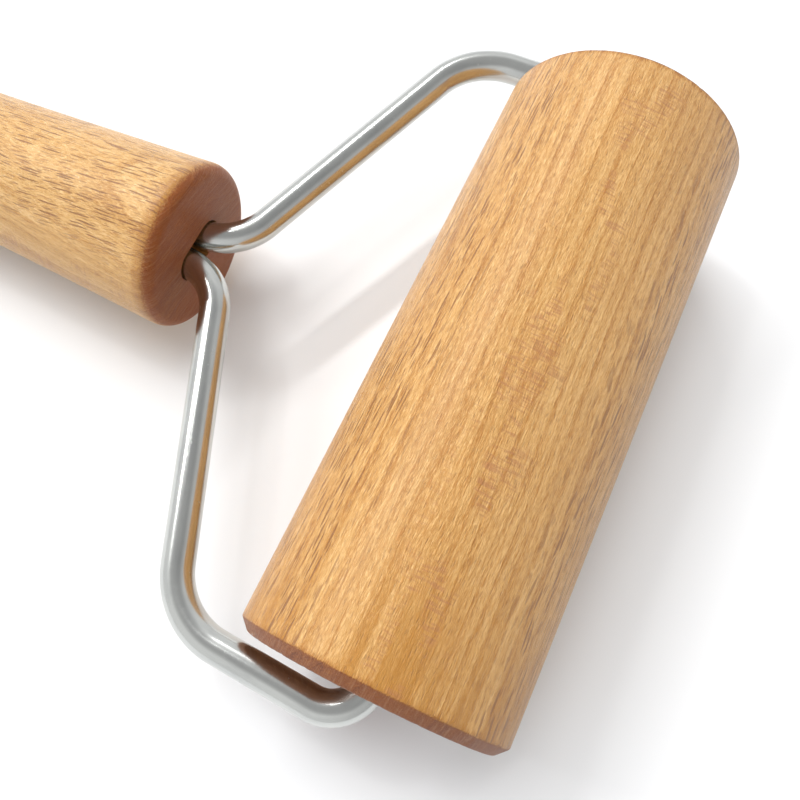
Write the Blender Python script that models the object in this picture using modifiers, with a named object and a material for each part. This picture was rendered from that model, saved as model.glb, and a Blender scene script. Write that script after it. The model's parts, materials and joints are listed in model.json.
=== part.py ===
"""Hand roller: a beech cylinder that turns on the ends of a two-arm wire yoke, with a turned beech handle.

The roller's axis and the handle's axis lie in one plane, and the yoke keeps to it but for its shoulders.
Everything is modelled in that plane: X along the roller's axis, +Y away from the handle, Z square to the
plane. One empty then tips the whole tool until the roller and the handle both touch z = 0, as it lies on
a table.
"""

import math

import bmesh
import bpy
from mathutils import Matrix, Vector

# Roller: ROLLER_SHIFT is where it happens to sit in its end float, towards +X
ROLLER_RADIUS = 0.0200
ROLLER_LENGTH = 0.0978
ROLLER_CHAMFER = 0.0016
ROLLER_SHIFT = 0.0008
BORE_RADIUS = 0.0036
BORE_DEPTH = 0.0190

# Sleeves pressed in the roller's end bores
SLEEVE_RADIUS = 0.0033
SLEEVE_BORE_RADIUS = 0.00258
SLEEVE_LENGTH = 0.0130
SLEEVE_RECESS = 0.0015

# Wire yoke: distances from the yoke's middle line (X) and from the roller's axis (towards the handle).
# It is bent by hand: the left shoulder stands SHOULDER_LIFT above the plane and the right one below it.
WIRE_RADIUS = 0.0025
TANG_X = 0.00280
TANG_LENGTH = 0.0340
LEG_START = 0.0503
SHOULDER_X = 0.0534
SHOULDER_Y = 0.0300
SHOULDER_LIFT = 0.0012
CORNER_X = 0.0547
JOURNAL_LENGTH = 0.0150
ROOT_BEND = 0.0100
SHOULDER_BEND = 0.0125
CORNER_BEND = 0.0062

# Handle: stations are (distance behind the front face, radius)
FACE_Y = 0.0557
FRONT_EDGE = 0.0022
BUTT_EDGE = 0.0045
HANDLE_STATIONS = (
    (0.0000, 0.01434),
    (0.0080, 0.01390),
    (0.0180, 0.01338),
    (0.0300, 0.01278),
    (0.0440, 0.01217),
    (0.0580, 0.01180),
    (0.0740, 0.01240),
    (0.0880, 0.01320),
    (0.1000, 0.01270),
)
SOCKET_CLEARANCE = 0.0003
SOCKET_DEPTH = 0.0355
MOUTH_CLEARANCE = 0.00045
MOUTH_DEPTH = 0.0030

# How far the edges of a chamfer are worn round
CHAMFER_WEAR = 0.0007

# Fineness
ROUND_STEPS = 64
SLEEVE_STEPS = 32
WIRE_RINGS = 6
EDGE_STEPS = 3
BUTT_STEPS = 5
BODY_STEPS = 14
BEND_STEPS = 8
MERGE = 0.00001

BEECH_PALE = (0.66, 0.42, 0.21)
BEECH_WARM = (0.60, 0.34, 0.14)
STEEL = (0.62, 0.62, 0.60)
ACETAL = (0.85, 0.84, 0.80)


def clear_scene():
    for obj in list(bpy.data.objects):
        bpy.data.objects.remove(obj, do_unlink=True)


def new_collection(name):
    collection = bpy.data.collections.new(name)
    bpy.context.scene.collection.children.link(collection)
    return collection


def make_material(name, color, roughness, metallic=0.0):
    material = bpy.data.materials.new(name)
    material.use_nodes = True
    shader = material.node_tree.nodes["Principled BSDF"]
    shader.inputs["Base Color"].default_value = (*color, 1.0)
    shader.inputs["Roughness"].default_value = roughness
    shader.inputs["Metallic"].default_value = metallic
    return material


def bent_path(corners, bends, steps):
    """Points along straight runs between corners, each inner corner rounded by an arc of its bend radius."""
    path = [corners[0]]
    for before, corner, after, radius in zip(corners, corners[1:], corners[2:], bends):
        to_before = (before - corner).normalized()
        to_after = (after - corner).normalized()
        half_angle = to_before.angle(to_after) / 2
        centre = corner + (to_before + to_after).normalized() * radius / math.sin(half_angle)
        start = corner + to_before * radius / math.tan(half_angle) - centre
        end = corner + to_after * radius / math.tan(half_angle) - centre
        turn = start.angle(end)
        for step in range(steps + 1):
            share = turn * step / steps
            spoke = start * math.sin(turn - share) + end * math.sin(share)
            path.append(centre + spoke / math.sin(turn))
    path.append(corners[-1])
    return path


def turned(name, profile, steps, closed, material, collection):
    """A solid of revolution about its own Z axis; the profile's (radius, z) points run down its outside."""
    mesh = bpy.data.meshes.new(name)
    vertices = [(radius, 0.0, z) for radius, z in profile]
    edges = [(index, index + 1) for index in range(len(profile) - 1)]
    if closed:
        edges.append((len(profile) - 1, 0))
    mesh.from_pydata(vertices, edges, [])
    mesh.materials.append(material)
    obj = bpy.data.objects.new(name, mesh)
    collection.objects.link(obj)
    screw = obj.modifiers.new("turn", "SCREW")
    screw.axis = "Z"
    screw.angle = math.radians(360.0)
    screw.steps = steps
    screw.render_steps = steps
    screw.use_merge_vertices = True
    screw.merge_threshold = MERGE
    screw.use_smooth_shade = True
    return obj


def eased_chamfer(radius, top, width):
    """(radius, z) points from a flat end face at z = top, down a chamfer whose two edges are worn round."""
    corners = [
        Vector((radius - 2 * width, top, 0.0)),
        Vector((radius - width, top, 0.0)),
        Vector((radius, top - width, 0.0)),
        Vector((radius, top - 2 * width, 0.0)),
    ]
    path = bent_path(corners, (CHAMFER_WEAR, CHAMFER_WEAR), EDGE_STEPS)
    return [(point.x, point.y) for point in path[1:-1]]


def rounded_edge(radius, edge, steps):
    """(radius, z) points from a flat face at z = 0, round a quarter circle, to the side below it."""
    points = []
    for step in range(steps + 1):
        angle = math.radians(90.0 * step / steps)
        points.append((radius - edge + edge * math.sin(angle), edge * math.cos(angle) - edge))
    return points


def roller_profile():
    half = ROLLER_LENGTH / 2
    floor = half - BORE_DEPTH
    upper = [(0.0, floor), (BORE_RADIUS, floor), (BORE_RADIUS, half)]
    upper += eased_chamfer(ROLLER_RADIUS, half, ROLLER_CHAMFER)
    return upper + [(radius, -z) for radius, z in reversed(upper)]


def sleeve_profile():
    half = SLEEVE_LENGTH / 2
    return [
        (SLEEVE_BORE_RADIUS, half),
        (SLEEVE_RADIUS, half),
        (SLEEVE_RADIUS, -half),
        (SLEEVE_BORE_RADIUS, -half),
    ]


def handle_radius(distance):
    """Radius of the handle at a distance behind its front face: a smooth curve through the stations."""
    stations = HANDLE_STATIONS
    last = len(stations) - 1
    span = 0
    while span < last - 1 and distance > stations[span + 1][0]:
        span += 1
    (x0, y0), (x1, y1) = stations[span], stations[span + 1]
    before = stations[max(span - 1, 0)]
    after = stations[min(span + 2, last)]
    slope0 = (y1 - before[1]) / (x1 - before[0])
    slope1 = (after[1] - y0) / (after[0] - x0)
    width = x1 - x0
    t = (distance - x0) / width
    return (
        (2 * t**3 - 3 * t**2 + 1) * y0
        + (t**3 - 2 * t**2 + t) * width * slope0
        + (3 * t**2 - 2 * t**3) * y1
        + (t**3 - t**2) * width * slope1
    )


def handle_profile():
    """The handle stands on its Z axis with the front face at z = 0 and the butt below it."""
    length = HANDLE_STATIONS[-1][0]
    body_start = FRONT_EDGE
    body_end = length - BUTT_EDGE
    butt = handle_radius(body_end)
    profile = [(0.0, 0.0)]
    profile += rounded_edge(handle_radius(body_start), FRONT_EDGE, BUTT_STEPS)
    for step in range(1, BODY_STEPS):
        distance = body_start + (body_end - body_start) * step / BODY_STEPS
        profile.append((handle_radius(distance), -distance))
    for step in range(BUTT_STEPS + 1):
        angle = math.radians(90.0 * step / BUTT_STEPS)
        across = butt - BUTT_EDGE + BUTT_EDGE * math.cos(angle)
        profile.append((across, -body_end - BUTT_EDGE * math.sin(angle)))
    profile.append((0.0, -length))
    return profile


def arm_path(side):
    """One arm of the yoke, from its tang in the handle to its journal in the roller; side is -1 or 1."""
    journal_end = ROLLER_LENGTH / 2 + side * ROLLER_SHIFT - JOURNAL_LENGTH
    corners = [
        Vector((side * TANG_X, -FACE_Y - TANG_LENGTH, 0.0)),
        Vector((side * TANG_X, -LEG_START, 0.0)),
        Vector((side * SHOULDER_X, -SHOULDER_Y, -side * SHOULDER_LIFT)),
        Vector((side * CORNER_X, 0.0, 0.0)),
        Vector((side * journal_end, 0.0, 0.0)),
    ]
    return bent_path(corners, (ROOT_BEND, SHOULDER_BEND, CORNER_BEND), BEND_STEPS)


def yoke_arm(name, side, material, collection):
    curve = bpy.data.curves.new(name, "CURVE")
    curve.dimensions = "3D"
    curve.bevel_depth = WIRE_RADIUS
    curve.bevel_resolution = WIRE_RINGS
    curve.use_fill_caps = True
    path = arm_path(side)
    spline = curve.splines.new("POLY")
    spline.points.add(len(path) - 1)
    for point, place in zip(spline.points, path):
        point.co = (*place, 1.0)
    curve.materials.append(material)
    arm = bpy.data.objects.new(name, curve)
    collection.objects.link(arm)
    return arm


def slot_cutter(name, clearance, depth, collection):
    """A round-ended slot across both tangs, running down from just above the handle's front face."""
    radius = WIRE_RADIUS + clearance
    above = 0.004
    mesh = bpy.data.meshes.new(name)
    shape = bmesh.new()
    place = Matrix.Translation((0, 0, (above - depth) / 2)) @ Matrix.Rotation(math.pi / SLEEVE_STEPS, 4, "Z")
    bmesh.ops.create_cone(
        shape,
        cap_ends=True,
        segments=SLEEVE_STEPS,
        radius1=radius,
        radius2=radius,
        depth=depth + above,
        matrix=place,
    )
    for vertex in shape.verts:
        vertex.co.x += math.copysign(TANG_X, vertex.co.x)
    shape.to_mesh(mesh)
    shape.free()
    cutter = bpy.data.objects.new(name, mesh)
    cutter.hide_render = True
    cutter.display_type = "WIRE"
    collection.objects.link(cutter)
    return cutter


def cut(target, cutter):
    boolean = target.modifiers.new(cutter.name, "BOOLEAN")
    boolean.operation = "DIFFERENCE"
    boolean.solver = "EXACT"
    boolean.object = cutter


def lies_at(tilt):
    """Height of the handle's lowest point above the roller's lowest, with the tool tipped by tilt."""
    lowest = min(
        (z - FACE_Y) * math.sin(tilt) - radius * math.cos(tilt) for radius, z in handle_profile()
    )
    return lowest + ROLLER_RADIUS


def rest_tilt():
    """The tilt at which the roller and the handle touch the same flat surface, found by bisection."""
    low, high = 0.0, math.radians(15.0)
    for _ in range(50):
        middle = (low + high) / 2
        if lies_at(middle) > 0:
            low = middle
        else:
            high = middle
    return low


def set_down(stand, parts):
    """Moves the stand so that the parts' box is centred over the origin and its floor is at z = 0."""
    bpy.context.view_layer.update()
    graph = bpy.context.evaluated_depsgraph_get()
    corners = []
    for part in parts:
        evaluated = part.evaluated_get(graph)
        mesh = evaluated.to_mesh()
        corners += [evaluated.matrix_world @ vertex.co for vertex in mesh.vertices]
        evaluated.to_mesh_clear()
    middle_y = (min(point.y for point in corners) + max(point.y for point in corners)) / 2
    floor_z = min(point.z for point in corners)
    stand.location -= Vector((0.0, middle_y, floor_z))


def main():
    clear_scene()
    tool = new_collection("hand_roller")
    cutters = new_collection("cutters")

    roller_beech = make_material("beech_roller", BEECH_WARM, 0.45)
    handle_beech = make_material("beech_handle", BEECH_PALE, 0.42)
    steel = make_material("wire_steel", STEEL, 0.2, 1.0)
    acetal = make_material("sleeve_acetal", ACETAL, 0.4)

    roller = turned("roller_barrel", roller_profile(), ROUND_STEPS, False, roller_beech, tool)
    roller.location = (ROLLER_SHIFT, 0.0, 0.0)
    roller.rotation_euler = (0.0, math.radians(90.0), 0.0)

    handle = turned("handle", handle_profile(), ROUND_STEPS, False, handle_beech, tool)
    handle.location = (0.0, -FACE_Y, 0.0)
    handle.rotation_euler = (math.radians(-90.0), 0.0, 0.0)
    for name, clearance, depth in (
        ("tang_socket", SOCKET_CLEARANCE, SOCKET_DEPTH),
        ("socket_mouth", MOUTH_CLEARANCE, MOUTH_DEPTH),
    ):
        cutter = slot_cutter(name, clearance, depth, cutters)
        cutter.parent = handle
        cut(handle, cutter)

    parts = [roller, handle]
    for label, side in (("left", -1), ("right", 1)):
        sleeve = turned(f"journal_bush_{label}", sleeve_profile(), SLEEVE_STEPS, True, acetal, tool)
        middle = ROLLER_LENGTH / 2 - SLEEVE_RECESS - SLEEVE_LENGTH / 2
        sleeve.location = (ROLLER_SHIFT + side * middle, 0.0, 0.0)
        sleeve.rotation_euler = (0.0, math.radians(90.0), 0.0)
        parts.append(sleeve)
        parts.append(yoke_arm(f"yoke_arm_{label}", side, steel, tool))

    stand = bpy.data.objects.new("resting_pose", None)
    tool.objects.link(stand)
    for part in parts:
        part.parent = stand
    stand.rotation_euler = (rest_tilt(), 0.0, 0.0)
    set_down(stand, parts)


main()
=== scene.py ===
"""Looks for the hand roller: turned beech roller and handle, a bent polished wire yoke and two bushes."""

import json
import math

import bpy
from mathutils import Euler, Matrix, Vector, noise


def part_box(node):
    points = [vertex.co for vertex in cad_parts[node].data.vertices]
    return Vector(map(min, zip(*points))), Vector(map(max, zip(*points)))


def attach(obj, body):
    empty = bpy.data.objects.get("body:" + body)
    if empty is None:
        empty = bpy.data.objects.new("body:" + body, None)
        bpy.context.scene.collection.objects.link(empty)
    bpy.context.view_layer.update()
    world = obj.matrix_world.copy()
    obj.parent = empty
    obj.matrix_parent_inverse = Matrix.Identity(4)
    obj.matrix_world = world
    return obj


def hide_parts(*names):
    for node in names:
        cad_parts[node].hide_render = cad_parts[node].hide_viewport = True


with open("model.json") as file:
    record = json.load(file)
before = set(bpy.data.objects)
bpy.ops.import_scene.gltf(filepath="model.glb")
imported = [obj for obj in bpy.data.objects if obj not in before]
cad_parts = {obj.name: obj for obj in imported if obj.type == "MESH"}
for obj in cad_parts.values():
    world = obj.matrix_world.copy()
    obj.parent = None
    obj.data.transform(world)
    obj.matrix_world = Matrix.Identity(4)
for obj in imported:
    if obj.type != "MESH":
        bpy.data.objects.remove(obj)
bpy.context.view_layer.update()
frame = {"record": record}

MM = 0.001
# Points closer than this count as the same place
TOUCH = 0.00001

# ---------------------------------------------------------------- sizes
# Roller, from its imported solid; the profile repeats the part's own
barrel_low, barrel_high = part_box("roller_barrel")
ROLLER_RADIUS = (barrel_high.z - barrel_low.z) / 2
ROLLER_HALF = (barrel_high.x - barrel_low.x) / 2
ROLLER_MIDDLE = (barrel_low + barrel_high) / 2
ROLLER_CHAMFER = 0.0016
CHAMFER_WEAR = 0.0007
BORE_RADIUS = 0.0036
BORE_DEPTH = 0.0190
BORE_EASE = 0.0004
BUSH_RADIUS = 0.0033
BUSH_BORE = 0.00258
BUSH_EASE = 0.00025

# Yoke wire, in the tool's own axes: X along the roller, +Y away from the handle, origin on the roller's axis
WIRE_RADIUS = 0.0025
TANG_X = 0.00280
TANG_LENGTH = 0.0340
LEG_START = 0.0503
SHOULDER_X = 0.0534
SHOULDER_Y = 0.0300
SHOULDER_LIFT = 0.0012
CORNER_X = 0.0547
JOURNAL_LENGTH = 0.0150
ROOT_BEND = 0.0100
SHOULDER_BEND = 0.0125
CORNER_BEND = 0.0062

# Handle: stations are (distance behind the front face, radius)
FACE_Y = 0.0557
FRONT_EDGE = 0.0022
BUTT_EDGE = 0.0045
HANDLE_STATIONS = (
    (0.0000, 0.01434),
    (0.0080, 0.01390),
    (0.0180, 0.01338),
    (0.0300, 0.01278),
    (0.0440, 0.01217),
    (0.0580, 0.01180),
    (0.0740, 0.01240),
    (0.0880, 0.01320),
    (0.1000, 0.01270),
)
HANDLE_LENGTH = HANDLE_STATIONS[-1][0]
SOCKET_CLEARANCE = 0.0003
SOCKET_DEPTH = 0.0355
SOCKET_EASE = 0.00012

# The tool's axes in the row frame, from the record: the joint is on the roller's axis, the butt faces back
spin = Vector(frame["record"]["behaviour"]["joints"][0]["pos_m"])
back = Vector(frame["record"]["mounts"][0]["axis"]).normalized()
TOOL = Matrix.Translation(spin) @ Matrix.Rotation(math.asin(-back.z), 4, "X")

# How the wood was cut: the way from the tree's pith to its bark, turned from square by these angles.
# The roller's top shows the quarter-sawn side and the handle's top the flat-sawn one.
ROLLER_QUARTER = math.radians(7.0)
ROLLER_OUTWARD = Vector((0.0, -math.cos(ROLLER_QUARTER), math.sin(ROLLER_QUARTER)))
HANDLE_CROWN = math.radians(-12.0)
HANDLE_OUTWARD = Vector((math.sin(HANDLE_CROWN), 0.0, math.cos(HANDLE_CROWN)))

# Wear: (length over which it changes, depth), and for nicks also how rare they are, from 0 to 1. The wire's
# depth is a share of its radius.
ROLLER_FLATS = (0.011, 0.000022)
ROLLER_NICKS = (0.0011, 0.00022, 0.25)
ROLLER_FUZZ = (0.00045, 0.00006)
HANDLE_FLATS = (0.009, 0.00003)
HANDLE_NICKS = (0.0010, 0.00018, 0.3)
SANDED_OFF = 0.00002
WIRE_WAVE = (0.006, 0.004)

# Fineness of the meshes: steps round a piece, steps along it, and the gap between a wire's rings
ROLLER_TURN = 384
ROLLER_FACE_STEPS = 14
ROLLER_SIDE_STEPS = 40
CHAMFER_STEPS = 6
HANDLE_TURN = 288
HANDLE_FACE_STEPS = 16
HANDLE_SIDE_STEPS = 64
HANDLE_BUTT_STEPS = 10
FRONT_EDGE_STEPS = 14
BUTT_EDGE_STEPS = 12
SLOT_TURN = 48
BUSH_TURN = 96
WIRE_TURN = 48
WIRE_GAP = 0.0006
BEND_STEPS = 40
SHARP_ANGLE = math.radians(40.0)


# ---------------------------------------------------------------- paths and profiles
def bent_path(corners, bends, steps):
    """Points along straight runs between corners, each inner corner rounded by an arc of its bend radius."""
    path = [corners[0]]
    for before, corner, after, radius in zip(corners, corners[1:], corners[2:], bends):
        to_before = (before - corner).normalized()
        to_after = (after - corner).normalized()
        half_angle = to_before.angle(to_after) / 2
        centre = corner + (to_before + to_after).normalized() * radius / math.sin(half_angle)
        start = corner + to_before * radius / math.tan(half_angle) - centre
        end = corner + to_after * radius / math.tan(half_angle) - centre
        turn = start.angle(end)
        for step in range(steps + 1):
            share = turn * step / steps
            spoke = start * math.sin(turn - share) + end * math.sin(share)
            path.append(centre + spoke / math.sin(turn))
    path.append(corners[-1])
    return path


def evenly(path, gap):
    """The same path with points no more than gap apart."""
    finer = [path[0]]
    for start, end in zip(path, path[1:]):
        pieces = max(1, math.ceil((end - start).length / gap))
        finer += [start.lerp(end, piece / pieces) for piece in range(1, pieces + 1)]
    return finer


def eased_chamfer(radius, top, width, steps):
    """(radius, z) points from a flat end face at z = top, down a chamfer whose two edges are worn round."""
    corners = [
        Vector((radius - 2 * width, top, 0.0)),
        Vector((radius - width, top, 0.0)),
        Vector((radius, top - width, 0.0)),
        Vector((radius, top - 2 * width, 0.0)),
    ]
    path = bent_path(corners, (CHAMFER_WEAR, CHAMFER_WEAR), steps)
    return [(point.x, point.y) for point in path[1:-1]]


def rounded_edge(radius, edge, steps):
    """(radius, z) points from a flat face at z = 0, round a quarter circle, to the side below it."""
    points = []
    for step in range(steps + 1):
        angle = math.radians(90.0 * step / steps)
        points.append((radius - edge + edge * math.sin(angle), edge * math.cos(angle) - edge))
    return points


def between(start, end, count):
    """(radius, z) points that divide the line from start to end into count steps, both ends left out."""
    return [
        (start[0] + (end[0] - start[0]) * step / count, start[1] + (end[1] - start[1]) * step / count)
        for step in range(1, count)
    ]


def handle_radius(distance):
    """Radius of the handle at a distance behind its front face: a smooth curve through the stations."""
    stations = HANDLE_STATIONS
    last = len(stations) - 1
    span = 0
    while span < last - 1 and distance > stations[span + 1][0]:
        span += 1
    (x0, y0), (x1, y1) = stations[span], stations[span + 1]
    before = stations[max(span - 1, 0)]
    after = stations[min(span + 2, last)]
    slope0 = (y1 - before[1]) / (x1 - before[0])
    slope1 = (after[1] - y0) / (after[0] - x0)
    width = x1 - x0
    t = (distance - x0) / width
    return (
        (2 * t**3 - 3 * t**2 + 1) * y0
        + (t**3 - 2 * t**2 + t) * width * slope0
        + (3 * t**2 - 2 * t**3) * y1
        + (t**3 - t**2) * width * slope1
    )


# ---------------------------------------------------------------- meshes
def keep_vectors(mesh, name, vectors):
    """One named vector per point, which the materials read."""
    attribute = mesh.attributes.new(name, "FLOAT_VECTOR", "POINT")
    attribute.data.foreach_set("vector", [number for vector in vectors for number in vector])


def shade(mesh):
    """Smooth shading, but for edges that turn by more than SHARP_ANGLE."""
    mesh.shade_smooth()
    mesh.set_sharp_from_angle(angle=SHARP_ANGLE)


def make_object(name, points, faces):
    """A mesh object in the row frame."""
    mesh = bpy.data.meshes.new(name)
    mesh.from_pydata(points, [], faces)
    shade(mesh)
    mesh.update()
    made = bpy.data.objects.new(name, mesh)
    bpy.context.scene.collection.objects.link(made)
    return made


# The lathe's Z axis laid along the roller's axis
LATHE_TO_X = Matrix.Rotation(math.radians(90.0), 4, "Y")


def lathe(profile, count, dent):
    """Points and faces of a solid turned about Z. dent(radius, z, angle) moves a point a little. The
    profile runs down the outside; a point on the axis becomes one vertex."""
    points, faces, rings = [], [], []
    for radius, z in profile:
        if radius < TOUCH:
            rings.append([len(points)])
            points.append(Vector((0.0, 0.0, z)))
            continue
        ring = []
        for step in range(count):
            angle = 2 * math.pi * step / count
            out, along = dent(radius, z, angle)
            ring.append(len(points))
            points.append(Vector((out * math.cos(angle), out * math.sin(angle), along)))
        rings.append(ring)
    for upper, lower in zip(rings, rings[1:]):
        for step in range(count):
            after = (step + 1) % count
            if len(upper) == 1:
                faces.append((upper[0], lower[step], lower[after]))
            elif len(lower) == 1:
                faces.append((upper[after], upper[step], lower[0]))
            else:
                faces.append((upper[after], upper[step], lower[step], lower[after]))
    return points, faces


def rumple(place, size, amount):
    """Smooth random offset, up to about amount, that varies over a length of size."""
    return amount * noise.noise(place / size)


def nick(place, size, depth, rare):
    """How deep the soft nicks of a face or rim are at a place; most of it has none."""
    return max(0.0, rumple(place, size, 1.0) - rare) * depth


def tube(path, radius_at, count):
    """Points, faces and unbent coordinates of a wire along path. radius_at(index, angle) gives the
    section at a point of the path. The unbent coordinates are (length, y, z) in millimetres."""
    points, faces, unbent, rings = [], [], [], []
    direction = (path[1] - path[0]).normalized()
    side = direction.orthogonal().normalized()
    length = 0.0
    for index, place in enumerate(path):
        ahead = path[min(index + 1, len(path) - 1)]
        behind = path[max(index - 1, 0)]
        heading = (ahead - behind).normalized()
        side = (side - heading * side.dot(heading)).normalized()
        other = heading.cross(side)
        if index:
            length += (place - path[index - 1]).length
        ring = []
        for step in range(count):
            angle = 2 * math.pi * step / count
            radius = radius_at(index, angle)
            ring.append(len(points))
            points.append(place + (side * math.cos(angle) + other * math.sin(angle)) * radius)
            unbent.append((length / MM, radius / MM * math.cos(angle), radius / MM * math.sin(angle)))
        rings.append(ring)
    for first, second in zip(rings, rings[1:]):
        for step in range(count):
            after = (step + 1) % count
            faces.append((first[step], first[after], second[after], second[step]))
    faces.append(tuple(reversed(rings[0])))
    faces.append(tuple(rings[-1]))
    return points, faces, unbent


# ---------------------------------------------------------------- material graphs
class Graph:
    """A material's node tree. Each call adds nodes and returns an output socket."""

    def __init__(self, name):
        self.material = bpy.data.materials.new(name)
        self.material.use_nodes = True
        self.tree = self.material.node_tree
        self.shader = self.tree.nodes["Principled BSDF"]

    def feed(self, socket, value):
        if isinstance(value, bpy.types.NodeSocket):
            self.tree.links.new(value, socket)
        else:
            socket.default_value = value

    def node(self, kind, output, inputs, **settings):
        node = self.tree.nodes.new(kind)
        for key, value in settings.items():
            setattr(node, key, value)
        for key, value in inputs.items():
            self.feed(node.inputs[key], value)
        return node.outputs[output]

    def surface(self, **values):
        for key, value in values.items():
            self.feed(self.shader.inputs[key.replace("_", " ")], value)

    def attribute(self, name):
        return self.node("ShaderNodeAttribute", "Vector", {}, attribute_name=name)

    def math(self, operation, first, second=0.0, third=0.0):
        """One math node."""
        inputs = {0: first, 1: second, 2: third}
        return self.node("ShaderNodeMath", 0, inputs, operation=operation)

    def add(self, first, second):
        return self.math("ADD", first, second)

    def times(self, first, second):
        return self.math("MULTIPLY", first, second)

    def swing(self, value, amount):
        """A value from 0 to 1 turned into one from -amount to amount."""
        return self.math("MULTIPLY_ADD", value, 2 * amount, -amount)

    def range(self, value, low, high):
        """0 at low and 1 at high, smoothly between and flat beyond; high may be the smaller of the two."""
        inputs = {"Value": value, "From Min": low, "From Max": high}
        return self.node("ShaderNodeMapRange", "Result", inputs, interpolation_type="SMOOTHSTEP")

    def split(self, vector):
        node = self.tree.nodes.new("ShaderNodeSeparateXYZ")
        self.feed(node.inputs[0], vector)
        return node.outputs

    def join(self, x, y, z):
        return self.node("ShaderNodeCombineXYZ", 0, {0: x, 1: y, 2: z})

    def stretch(self, vector, scale):
        return self.node("ShaderNodeVectorMath", 0, {0: vector, 1: scale}, operation="MULTIPLY")

    def dot(self, first, second):
        return self.node("ShaderNodeVectorMath", "Value", {0: first, 1: second}, operation="DOT_PRODUCT")

    def noise(self, vector, scale, detail=2.0, rough=0.5, output="Fac"):
        inputs = {"Vector": self.stretch(vector, scale), "Scale": 1.0, "Detail": detail, "Roughness": rough}
        return self.node("ShaderNodeTexNoise", output, inputs)

    def cells(self, vector, scale):
        """Distance to the nearest of one scattered point per cell."""
        inputs = {"Vector": self.stretch(vector, scale), "Scale": 1.0}
        return self.node("ShaderNodeTexVoronoi", "Distance", inputs)

    def mix(self, share, first, second, blend="MIX"):
        """Colours first to second by share; sockets 6 and 7 are the colour ones."""
        node = self.tree.nodes.new("ShaderNodeMix")
        node.data_type = "RGBA"
        node.blend_type = blend
        self.feed(node.inputs[0], share)
        self.feed(node.inputs[6], first)
        self.feed(node.inputs[7], second)
        return node.outputs[2]

    def ramp(self, value, stops):
        node = self.tree.nodes.new("ShaderNodeValToRGB")
        self.feed(node.inputs[0], value)
        elements = node.color_ramp.elements
        while len(elements) < len(stops):
            elements.new(0.5)
        for element, (place, tint) in zip(elements, stops):
            element.position = place
            element.color = colour(*tint)
        return node.outputs[0]

    def bump(self, height, distance, strength):
        inputs = {"Height": height, "Distance": distance, "Strength": strength}
        return self.node("ShaderNodeBump", 0, inputs)


def colour(red, green, blue):
    return (red, green, blue, 1.0)


# Two pieces of beech, in millimetres. pith is how far off the tree's pith was, ring a year's growth, lean how
# far the grain runs off the piece's axis, and wander how far it waves. tones go from light to dark, and
# tone is where the piece starts. soak is where along the piece the oil has darkened it, and soaked its
# colour there. middle and half place the sides' two edges along the piece, and rim is how far in from them
# the wood is browner. end multiplies the colour on end grain. axis is the way the grain runs, and outward
# the way to the bark.
BEECH = {
    "roller": {
        "pith": 62.0,
        "ring": 2.3,
        "lean": (0.010, 0.016),
        "wander": 1.2,
        "axis": (1.0, 0.0, 0.0),
        "outward": tuple(ROLLER_OUTWARD),
        "tones": (
            (0.0, (0.86, 0.545, 0.225)),
            (0.35, (0.69, 0.375, 0.118)),
            (0.7, (0.47, 0.195, 0.032)),
            (1.0, (0.24, 0.075, 0.010)),
        ),
        "tone": 0.36,
        "soak": (24.0, 49.0),
        "soaked": (0.50, 0.215, 0.026),
        "middle": 0.0,
        "half": (ROLLER_HALF - ROLLER_CHAMFER) / MM,
        "rim": 0.7,
        "end": (0.53, 0.33, 0.18),
        "roughness": 0.36,
    },
    "handle": {
        "pith": 40.0,
        "ring": 2.6,
        "lean": (0.045, 0.012),
        "wander": 2.0,
        "axis": tuple(back),
        "outward": tuple(HANDLE_OUTWARD),
        "tones": (
            (0.0, (0.84, 0.55, 0.24)),
            (0.35, (0.71, 0.405, 0.130)),
            (0.7, (0.52, 0.24, 0.050)),
            (1.0, (0.30, 0.11, 0.02)),
        ),
        "tone": 0.33,
        "soak": (-3.6, -1.2),
        "soaked": (0.50, 0.23, 0.045),
        "middle": -(HANDLE_LENGTH - BUTT_EDGE + FRONT_EDGE) / 2 / MM,
        "half": (HANDLE_LENGTH - BUTT_EDGE - FRONT_EDGE) / 2 / MM,
        "rim": 1.5,
        "end": (0.60, 0.33, 0.13),
        "roughness": 0.34,
    },
}

# Colours of the marks in the wood
RAY_BROWN = (0.27, 0.105, 0.025)
SMALL_RAY_BROWN = (0.34, 0.14, 0.04)
FLECK_BROWN = (0.46, 0.19, 0.07)
PORE_BROWN = (0.40, 0.19, 0.07)
SPECK_BROWN = (0.10, 0.035, 0.015)
SANDED_BROWN = (0.56, 0.30, 0.15)


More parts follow.
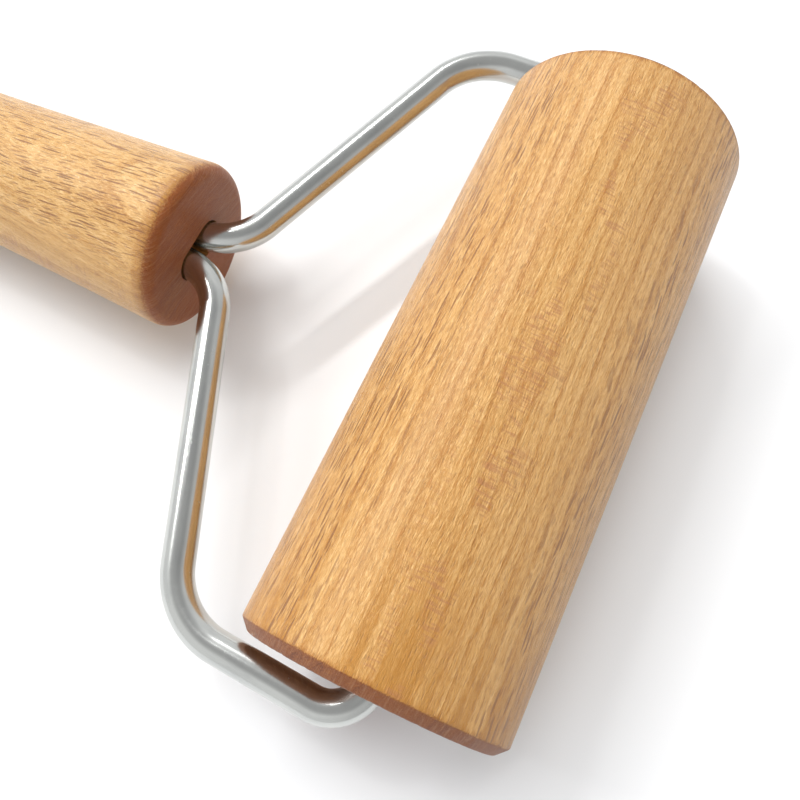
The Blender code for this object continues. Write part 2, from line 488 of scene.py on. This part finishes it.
def beech(name, wood):
    """Beech as a solid: growth rings, wood rays, pores and fibres run through the piece, so its sides show
    straight or arched figure and its ends show end grain. The vector "grain" holds millimetres: along the
    grain, away from the pith, and round the rings."""
    g = Graph(name)
    place = g.attribute("grain")
    along, outward, around = g.split(place)
    drift = g.split(g.noise(place, (0.022, 0.06, 0.06), 4.0, 0.55, "Color"))
    lean_outward, lean_around = wood["lean"]
    outward = g.add(g.add(outward, g.times(along, lean_outward)), g.swing(drift[0], wood["wander"]))
    around = g.add(g.add(around, g.times(along, lean_around)), g.swing(drift[1], wood["wander"]))
    outward = g.add(outward, wood["pith"])
    square = g.add(g.times(outward, outward), g.times(around, around))
    radial = g.math("SQRT", square)
    turn = g.times(g.math("ARCTAN2", around, outward), wood["pith"])
    tree = g.join(along, radial, turn)

    # Growth rings: each year darkens towards a thin line of late wood, and years differ
    uneven = g.swing(g.noise(tree, (0.004, 0.16, 0.02), 1.0), 1.1)
    year = g.add(g.times(radial, 1 / wood["ring"]), uneven)
    phase = g.math("FRACT", year)
    late = g.math("POWER", g.range(phase, 0.15, 0.93), 2.2)
    late = g.times(late, g.range(phase, 1.0, 0.95))
    each = g.node("ShaderNodeTexWhiteNoise", "Value", {"W": g.math("FLOOR", year)}, noise_dimensions="1D")
    # Bands, streaks and fibres along the grain, scratches from sanding the ends, and slow changes
    broad = g.noise(tree, (0.010, 0.45, 0.16), 3.0, 0.6)
    streak = g.range(g.noise(tree, (0.045, 2.6, 1.5), 4.0, 0.65), 0.28, 0.72)
    fibre = g.range(g.noise(tree, (0.80, 6.5, 6.5), 3.0, 0.75), 0.32, 0.68)
    sanding = g.range(g.noise(place, (0.4, 5.0, 0.22), 3.0, 0.7), 0.46, 0.70)
    cloud = g.noise(place, (0.020, 0.06, 0.06), 2.0)
    # Rays, thin plates that stand out from the pith, cut end-on as dashes and side-on as flecks
    normal = g.node("ShaderNodeTexCoord", "Normal", {})
    outside = g.math("ABSOLUTE", g.dot(normal, wood["outward"]))
    flat_sawn = g.range(outside, 0.34, 0.72)
    quarter_sawn = g.range(outside, 0.34, 0.10)
    plates = g.cells(tree, (0.14, 0.34, 3.0))
    ray = g.times(g.range(plates, 0.34, 0.24), flat_sawn)
    small_plates = g.cells(tree, (0.34, 0.50, 4.6))
    small_ray = g.times(g.range(small_plates, 0.38, 0.26), flat_sawn)
    combed = g.noise(tree, (2.6, 0.30, 1.1), 2.0, 0.6)
    patch = g.range(g.noise(tree, (0.13, 0.32, 0.6), 1.0), 0.44, 0.58)
    fleck = g.times(g.times(g.range(combed, 0.42, 0.66), patch), quarter_sawn)
    # Pores, fine tubes along the grain, and a few dark specks
    pore = g.range(g.cells(tree, (0.45, 3.1, 3.1)), 0.27, 0.12)
    speck = g.range(g.cells(place, (0.06, 0.14, 0.14)), 0.024, 0.012)

    # End grain: where the surface faces along the grain
    facing = g.dot(normal, wood["axis"])
    end = g.range(g.add(g.math("ABSOLUTE", facing), g.swing(fibre, 0.10)), 0.20, 0.62)
    side = g.math("SUBTRACT", 1.0, end)
    inset = g.math("SUBTRACT", wood["half"], g.math("ABSOLUTE", g.math("SUBTRACT", along, wood["middle"])))
    rim = g.range(g.add(inset, g.swing(streak, 0.5)), wood["rim"], 0.0)

    tone = g.add(wood["tone"], g.times(late, 0.16))
    for value, amount in ((each, 0.03), (broad, 0.11), (streak, 0.14), (fibre, 0.19), (cloud, 0.08)):
        tone = g.add(tone, g.swing(value, amount))
    tone = g.add(tone, g.times(rim, 0.30))
    tint = g.ramp(tone, wood["tones"])
    uneven_soak = g.range(g.add(broad, g.swing(cloud, 0.3)), 0.30, 0.62)
    soak = g.times(g.range(along, *wood["soak"]), uneven_soak)
    tint = g.mix(g.times(soak, 0.8), tint, colour(*wood["soaked"]))
    for mark, strength, brown in (
        (ray, 0.85, RAY_BROWN),
        (small_ray, 0.60, SMALL_RAY_BROWN),
        (fleck, 0.65, FLECK_BROWN),
    ):
        tint = g.mix(g.times(mark, g.times(side, strength)), tint, colour(*brown))
    tint = g.mix(g.times(pore, 0.42), tint, colour(*PORE_BROWN))
    tint = g.mix(g.times(speck, 0.85), tint, colour(*SPECK_BROWN))
    darker = g.mix(1.0, tint, colour(*wood["end"]), "MULTIPLY")
    darker = g.mix(g.times(sanding, 0.30), darker, colour(*SANDED_BROWN))
    tint = g.mix(end, tint, darker)

    # Raised fibres, sunk pores and rays, and a faint overall tooth
    height = g.add(g.times(fibre, 0.55), g.times(streak, 0.25))
    height = g.add(height, g.times(pore, -0.45))
    height = g.add(height, g.times(ray, -0.35))
    height = g.add(height, g.times(g.noise(place, (0.9, 2.2, 2.2), 2.0), 0.12))
    rough = g.add(wood["roughness"], g.swing(fibre, 0.10))
    rough = g.add(rough, g.times(end, 0.25))
    rough = g.add(rough, g.times(pore, 0.15))
    g.surface(Base_Color=tint, Roughness=rough, Normal=g.bump(height, 0.00012, 1.0))
    g.surface(Coat_Weight=0.28, Coat_Roughness=0.35)
    g.surface(Specular_IOR_Level=0.45)
    return g.material


def steel(name):
    """Polished stainless wire: fine rings left by polishing, faint draw lines, and a slightly dull film."""
    g = Graph(name)
    place = g.attribute("wire")
    rings = g.noise(place, (4.5, 0.35, 0.35), 3.0, 0.7)
    lines = g.noise(place, (0.06, 3.5, 3.5), 2.0, 0.6)
    dull = g.noise(place, (0.12, 0.35, 0.35), 3.0, 0.6)
    marks = g.noise(place, (0.8, 0.8, 0.8), 3.0, 0.6)
    tint = g.mix(g.range(dull, 0.35, 0.75), colour(0.62, 0.63, 0.605), colour(0.52, 0.53, 0.515))
    rough = g.add(0.20, g.swing(dull, 0.06))
    rough = g.add(rough, g.swing(rings, 0.05))
    rough = g.add(rough, g.times(g.range(marks, 0.62, 0.75), 0.10))
    height = g.add(g.times(rings, 0.6), g.times(lines, 0.4))
    g.surface(Base_Color=tint, Roughness=rough, Normal=g.bump(height, 0.000005, 0.5))
    g.surface(Metallic=1.0)
    return g.material


def acetal(name):
    """Natural acetal, turned: a waxy off-white with fine tool rings."""
    g = Graph(name)
    place = g.attribute("turned")
    rings = g.noise(place, (6.0, 0.6, 0.6), 2.0, 0.6)
    grime = g.noise(place, (0.5, 0.5, 0.5), 3.0, 0.6)
    tint = g.mix(g.range(grime, 0.45, 0.8), colour(0.80, 0.785, 0.73), colour(0.66, 0.62, 0.54))
    rough = g.add(0.38, g.swing(rings, 0.08))
    g.surface(Base_Color=tint, Roughness=rough, Normal=g.bump(rings, 0.00003, 0.6))
    return g.material


def card(name):
    """White studio card with a faint tooth."""
    g = Graph(name)
    place = g.node("ShaderNodeTexCoord", "Object", {})
    tooth = g.noise(place, (900.0, 900.0, 900.0), 3.0, 0.6)
    soft = g.noise(place, (6.0, 6.0, 6.0), 2.0)
    tint = g.mix(soft, colour(0.865, 0.875, 0.885), colour(0.88, 0.89, 0.90))
    g.surface(Base_Color=tint, Roughness=g.add(0.55, g.swing(tooth, 0.05)))
    g.surface(Normal=g.bump(tooth, 0.00002, 0.3), Specular_IOR_Level=0.2)
    return g.material


# ---------------------------------------------------------------- roller
def roller_profile():
    """From the floor of one bore, out over the face and its worn chamfer, down the side and back in."""
    floor = ROLLER_HALF - BORE_DEPTH
    eased = 0.3 * BORE_EASE
    face_start = (BORE_RADIUS + BORE_EASE, ROLLER_HALF)
    upper = [
        (0.0, floor),
        (BORE_RADIUS, floor),
        (BORE_RADIUS, ROLLER_HALF - BORE_EASE),
        (BORE_RADIUS + eased, ROLLER_HALF - eased),
        face_start,
    ]
    rim = eased_chamfer(ROLLER_RADIUS, ROLLER_HALF, ROLLER_CHAMFER, CHAMFER_STEPS)
    upper += between(face_start, rim[0], ROLLER_FACE_STEPS) + rim
    below = [(radius, -z) for radius, z in reversed(upper)]
    return upper + between(upper[-1], below[0], ROLLER_SIDE_STEPS) + below


def roller_dent(radius, z, angle):
    """Hand-sanded flats along the barrel, soft nicks round the rims and torn fibres on the ends."""
    place = Vector((radius * math.cos(angle), radius * math.sin(angle), z))
    if radius > ROLLER_RADIUS - TOUCH:
        flats = rumple(Vector((place.x, place.y, place.z * 0.35)), *ROLLER_FLATS)
        return radius + flats - SANDED_OFF, z
    if radius < BORE_RADIUS + TOUCH:
        return radius, z
    chipped = nick(place + Vector((0.3, 0.1, 0.7)), *ROLLER_NICKS)
    fuzz = rumple(place, *ROLLER_FUZZ)
    inward = math.copysign(chipped + max(fuzz, 0.0), z)
    on_chamfer = ROLLER_HALF - abs(z) > 0.0002
    if on_chamfer:
        return radius - chipped * 0.7, z - inward * 0.5
    return radius, z - inward


def make_roller(material):
    """The solid barrel, bored at both ends."""
    points, faces = lathe(roller_profile(), ROLLER_TURN, roller_dent)
    local = [LATHE_TO_X @ point for point in points]
    roller = make_object("roller_wood", [point + ROLLER_MIDDLE for point in local], faces)
    around = Vector((0.0, math.sin(ROLLER_QUARTER), math.cos(ROLLER_QUARTER)))
    grain = [(point.x / MM, point.dot(ROLLER_OUTWARD) / MM, point.dot(around) / MM) for point in local]
    keep_vectors(roller.data, "grain", grain)
    roller.data.materials.append(material)
    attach(roller, "roller")
    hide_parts("roller_barrel")


def make_bush(label, material):
    """A thin plain sleeve with eased edges."""
    low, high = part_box(f"journal_bush_{label}")
    middle = (low + high) / 2
    half = (high.x - low.x) / 2
    upper = [
        (BUSH_BORE, half - BUSH_EASE),
        (BUSH_BORE + BUSH_EASE / 2, half),
        (BUSH_RADIUS - BUSH_EASE, half),
        (BUSH_RADIUS, half - BUSH_EASE),
    ]
    profile = upper + [(radius, -z) for radius, z in reversed(upper)]
    profile.append(profile[0])
    points, faces = lathe(profile, BUSH_TURN, lambda radius, z, angle: (radius, z))
    # The profile ends where it began, so the last ring gives way to the first
    seam = len(points) - BUSH_TURN
    faces = [tuple(index % seam for index in face) for face in faces]
    local = [LATHE_TO_X @ point for point in points[:seam]]
    bush = make_object(f"bush_{label}", [point + middle for point in local], faces)
    keep_vectors(bush.data, "turned", [point / MM for point in local])
    bush.data.materials.append(material)
    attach(bush, "roller")
    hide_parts(f"journal_bush_{label}")


# ---------------------------------------------------------------- handle
def handle_profile():
    """The handle stands on Z with its front face at z = 0 and the butt below it."""
    body_end = HANDLE_LENGTH - BUTT_EDGE
    butt = handle_radius(body_end)
    rim = rounded_edge(handle_radius(FRONT_EDGE), FRONT_EDGE, FRONT_EDGE_STEPS)
    profile = [(0.0, 0.0)] + between((0.0, 0.0), rim[0], HANDLE_FACE_STEPS) + rim
    for step in range(1, HANDLE_SIDE_STEPS):
        distance = FRONT_EDGE + (body_end - FRONT_EDGE) * step / HANDLE_SIDE_STEPS
        profile.append((handle_radius(distance), -distance))
    for step in range(BUTT_EDGE_STEPS + 1):
        angle = math.radians(90.0 * step / BUTT_EDGE_STEPS)
        across = butt - BUTT_EDGE + BUTT_EDGE * math.cos(angle)
        profile.append((across, -body_end - BUTT_EDGE * math.sin(angle)))
    centre = (0.0, -HANDLE_LENGTH)
    return profile + between(profile[-1], centre, HANDLE_BUTT_STEPS) + [centre]


def handle_dent(radius, z, angle):
    """Hand-sanded flats on the side and the butt, and soft nicks in the front face."""
    place = Vector((radius * math.cos(angle), radius * math.sin(angle), z))
    behind_face = z < -0.001
    if behind_face:
        flats = rumple(Vector((place.x, place.y, place.z * 0.4)), *HANDLE_FLATS)
        return radius + flats - SANDED_OFF, z
    return radius, z - nick(place + Vector((0.2, 0.5, 0.1)), *HANDLE_NICKS)


def slot_stack(levels, count):
    """Points and faces of a round-ended slot across both tangs; levels are (clearance, z) from the top."""
    points, faces = [], []
    for clearance, z in levels:
        for step in range(count):
            angle = 2 * math.pi * (step + 0.5) / count
            radius = WIRE_RADIUS + clearance
            x = radius * math.cos(angle)
            points.append(Vector((x + math.copysign(TANG_X, x), radius * math.sin(angle), z)))
    for level in range(len(levels) - 1):
        for step in range(count):
            after = (step + 1) % count
            top, below = level * count, (level + 1) * count
            faces.append((top + after, top + step, below + step, below + after))
    faces.append(tuple(range(count)))
    faces.append(tuple(reversed(range((len(levels) - 1) * count, len(levels) * count))))
    return points, faces


def make_handle(material):
    """The turned handle, with one socket that takes both tangs."""
    points, faces = lathe(handle_profile(), HANDLE_TURN, handle_dent)
    lathe_to_y = Matrix.Rotation(math.radians(-90.0), 4, "X")
    stand = TOOL @ Matrix.Translation((0.0, -FACE_Y, 0.0)) @ lathe_to_y
    handle = make_object("handle_wood", [stand @ point for point in points], faces)
    levels = (
        (SOCKET_CLEARANCE + SOCKET_EASE * 2, SOCKET_EASE),
        (SOCKET_CLEARANCE + SOCKET_EASE * 0.4, -SOCKET_EASE * 0.6),
        (SOCKET_CLEARANCE, -SOCKET_EASE * 2),
        (SOCKET_CLEARANCE, -SOCKET_DEPTH),
    )
    slot_points, slot_faces = slot_stack(levels, SLOT_TURN)
    cutter = make_object("slot_cutter", [stand @ point for point in slot_points], slot_faces)
    boolean = handle.modifiers.new("slot", "BOOLEAN")
    boolean.operation = "DIFFERENCE"
    boolean.solver = "EXACT"
    boolean.object = cutter
    graph = bpy.context.evaluated_depsgraph_get()
    cut_mesh = bpy.data.meshes.new_from_object(handle.evaluated_get(graph))
    handle.modifiers.clear()
    handle.data = cut_mesh
    bpy.data.objects.remove(cutter)
    # In the lathe's axes the table lies along +Y, so away from it is -Y
    crown = Matrix.Rotation(HANDLE_CROWN, 3, "Z")
    outward = crown @ Vector((0.0, -1.0, 0.0))
    around = crown @ Vector((1.0, 0.0, 0.0))
    back_to_lathe = stand.inverted()
    local = [back_to_lathe @ vertex.co for vertex in cut_mesh.vertices]
    grain = [(point.z / MM, point.dot(outward) / MM, point.dot(around) / MM) for point in local]
    keep_vectors(cut_mesh, "grain", grain)
    shade(cut_mesh)
    cut_mesh.materials.clear()
    cut_mesh.materials.append(material)
    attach(handle, "yoke")
    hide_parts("handle")


# ---------------------------------------------------------------- yoke
def arm_path(side):
    """One arm of the yoke, from its tang in the handle to its journal in the roller; side is -1 or 1."""
    journal_end = ROLLER_HALF + side * ROLLER_MIDDLE.x - JOURNAL_LENGTH
    corners = [
        Vector((side * TANG_X, -FACE_Y - TANG_LENGTH, 0.0)),
        Vector((side * TANG_X, -LEG_START, 0.0)),
        Vector((side * SHOULDER_X, -SHOULDER_Y, -side * SHOULDER_LIFT)),
        Vector((side * CORNER_X, 0.0, 0.0)),
        Vector((side * journal_end, 0.0, 0.0)),
    ]
    return bent_path(corners, (ROOT_BEND, SHOULDER_BEND, CORNER_BEND), BEND_STEPS)


def make_arm(label, side, material):
    """One wire, a little uneven along its length, with both cut ends rounded."""
    path = evenly(arm_path(side), WIRE_GAP)
    last = len(path) - 1

    def section(index, angle):
        to_end = min(index, last - index)
        rounding = (0.82, 0.95)[to_end] if to_end < 2 else 1.0
        return WIRE_RADIUS * (rounding + rumple(Vector((path[index].x, path[index].y, side)), *WIRE_WAVE))

    points, faces, unbent = tube(path, section, WIRE_TURN)
    arm = make_object(f"arm_{label}_wire", [TOOL @ point for point in points], faces)
    keep_vectors(arm.data, "wire", unbent)
    arm.data.materials.append(material)
    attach(arm, "yoke")
    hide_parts(f"yoke_arm_{label}")


# ---------------------------------------------------------------- studio
# The camera's place in metres, its turns about X, Y and Z in degrees, and its lens in millimetres
CAMERA_PLACE = (0.043300, 0.070769, 0.132984)
CAMERA_ANGLES = (18.1041, 0.5008, 115.3142)
CAMERA_LENS = 35.122

# Lights: places and sizes in metres, powers in watts
STRIP = {"place": (-0.55, -1.14, 1.42), "size": (1.8, 0.09), "power": 21.0}
LAMP = {"place": (-0.28, -0.72, 1.36), "size": (0.12, 0.12), "power": 1.6}
FILL = {"place": (-0.25, -0.30, 1.40), "size": (0.8, 0.8), "power": 8.0}
AIM = Vector((0.0, 0.03, 0.02))

# The room's brightness: at the horizon, straight overhead, and the share that is left towards +Y. The spans
# are where it changes, as the upward and the +Y part of a direction.
HORIZON = 0.91
ZENITH = 0.47
RISE_SPAN = (0.62, 0.92)
FAR_SIDE = 0.62
FAR_SPAN = (0.0, 0.9)
ROOM_WHITE = (0.985, 0.99, 1.0)
TABLE_REACH = 4.0


def make_floor():
    """A plain table top, wide enough to fill the view from any side."""
    mesh = bpy.data.meshes.new("table_top")
    signs = ((-1, -1), (1, -1), (1, 1), (-1, 1))
    corners = [(x * TABLE_REACH, y * TABLE_REACH, 0.0) for x, y in signs]
    mesh.from_pydata(corners, [], [(0, 1, 2, 3)])
    mesh.materials.append(card("table_card"))
    floor = bpy.data.objects.new("table_top", mesh)
    bpy.context.scene.collection.objects.link(floor)


def make_panel(name, place, size, power):
    """A rectangular light that faces the tool."""
    lamp = bpy.data.lights.new(name, "AREA")
    lamp.shape = "RECTANGLE"
    lamp.size, lamp.size_y = size
    lamp.energy = power
    panel = bpy.data.objects.new(name, lamp)
    panel.location = place
    panel.rotation_euler = (AIM - Vector(place)).to_track_quat("-Z", "Y").to_euler()
    bpy.context.scene.collection.objects.link(panel)
    return panel


def brightness(tree, part, span, levels, kind):
    """A level that goes from the first to the second of levels as one part of a direction crosses span."""
    node = tree.nodes.new("ShaderNodeMapRange")
    node.interpolation_type = kind
    for socket, value in zip(("From Min", "From Max", "To Min", "To Max"), (*span, *levels)):
        node.inputs[socket].default_value = value
    tree.links.new(part, node.inputs["Value"])
    return node.outputs["Result"]


def make_sky():
    """An even white room, a little darker straight overhead and towards +Y."""
    world = bpy.data.worlds.new("room")
    world.use_nodes = True
    tree = world.node_tree
    background = tree.nodes["Background"]
    place = tree.nodes.new("ShaderNodeTexCoord")
    split = tree.nodes.new("ShaderNodeSeparateXYZ")
    tree.links.new(place.outputs["Generated"], split.inputs[0])
    rise = brightness(tree, split.outputs["Z"], RISE_SPAN, (HORIZON, ZENITH), "SMOOTHSTEP")
    dim = brightness(tree, split.outputs["Y"], FAR_SPAN, (1.0, FAR_SIDE), "LINEAR")
    dimmed = tree.nodes.new("ShaderNodeMath")
    dimmed.operation = "MULTIPLY"
    tree.links.new(rise, dimmed.inputs[0])
    tree.links.new(dim, dimmed.inputs[1])
    tree.links.new(dimmed.outputs[0], background.inputs["Strength"])
    background.inputs["Color"].default_value = colour(*ROOM_WHITE)
    bpy.context.scene.world = world


def make_camera():
    camera = bpy.data.cameras.new("camera")
    camera.lens = CAMERA_LENS
    camera.sensor_width = 36.0
    camera.clip_start = 0.005
    holder = bpy.data.objects.new("camera", camera)
    holder.location = CAMERA_PLACE
    holder.rotation_euler = Euler([math.radians(angle) for angle in CAMERA_ANGLES])
    bpy.context.scene.collection.objects.link(holder)
    bpy.context.scene.camera = holder


def main():
    wire = steel("polished_wire")
    plastic = acetal("turned_acetal")
    make_roller(beech("roller_beech", BEECH["roller"]))
    make_handle(beech("handle_beech", BEECH["handle"]))
    for label, side in (("left", -1), ("right", 1)):
        make_arm(label, side, wire)
        make_bush(label, plastic)
    make_floor()
    make_sky()
    make_panel("window", **STRIP)
    make_panel("ceiling_lamp", **LAMP)
    make_panel("fill", **FILL).visible_glossy = False
    make_camera()
    view = bpy.context.scene.view_settings
    view.view_transform = "Standard"
    view.look = "None"


main()
